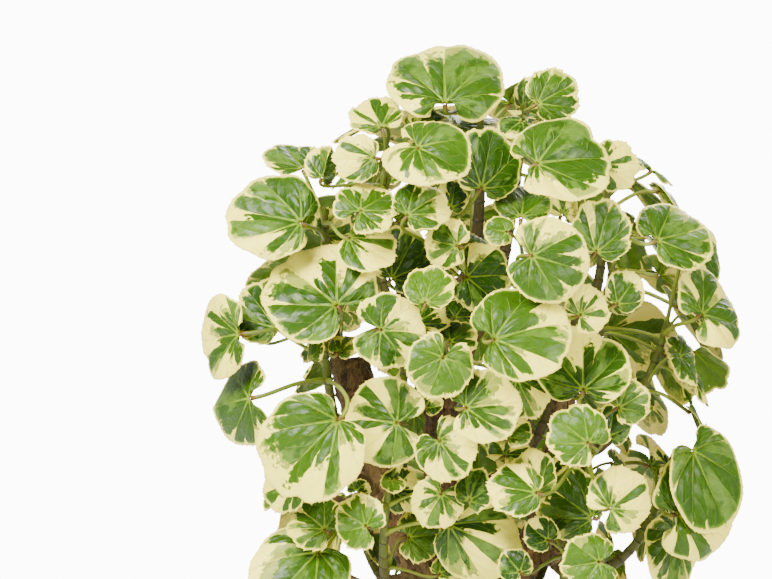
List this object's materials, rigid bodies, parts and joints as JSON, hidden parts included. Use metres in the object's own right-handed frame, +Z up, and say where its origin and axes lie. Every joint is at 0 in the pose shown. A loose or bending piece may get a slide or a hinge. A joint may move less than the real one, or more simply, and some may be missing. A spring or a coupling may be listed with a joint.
{
  "type": "potted variegated round-leaved aralia",
  "caption": "Bushy potted house plant: round toothed cream-edged leaves on long stalks, green shoots on a gnarled woody stem, in a plain tapered round pot.",
  "frame": {"origin": "centre of the pot's flat underside, on the surface that it stands on", "axes": "+Z up through the plant, +X to the right and -Y towards the viewer of the picture"},
  "size_m": [0.3715, 0.3512, 0.6286],
  "materials": {
    "pot": "satin",
    "soil": "matte",
    "bark": "matte",
    "foliage": "satin"
  },
  "bodies": {
    "root": {"pot": "pot", "soil": "soil", "trunk": "bark", "leafy_shoot_01": "foliage", "leafy_shoot_02": "foliage", "leafy_shoot_03": "foliage", "leafy_shoot_04": "foliage", "leafy_shoot_05": "foliage", "leafy_shoot_06": "foliage", "leafy_shoot_07": "foliage", "leafy_shoot_08": "foliage", "leafy_shoot_09": "foliage", "leafy_shoot_10": "foliage", "leafy_shoot_11": "foliage", "leafy_shoot_12": "foliage", "leafy_shoot_13": "foliage", "leafy_shoot_14": "foliage", "leafy_shoot_15": "foliage", "leafy_shoot_16": "foliage", "leafy_shoot_17": "foliage", "leafy_shoot_18": "foliage", "leafy_shoot_19": "foliage", "leafy_shoot_20": "foliage", "leafy_shoot_21": "foliage", "leafy_shoot_22": "foliage", "leafy_shoot_23": "foliage", "leafy_shoot_24": "foliage", "leafy_shoot_25": "foliage", "leafy_shoot_26": "foliage", "leafy_shoot_27": "foliage"}
  },
  "joints": []
}
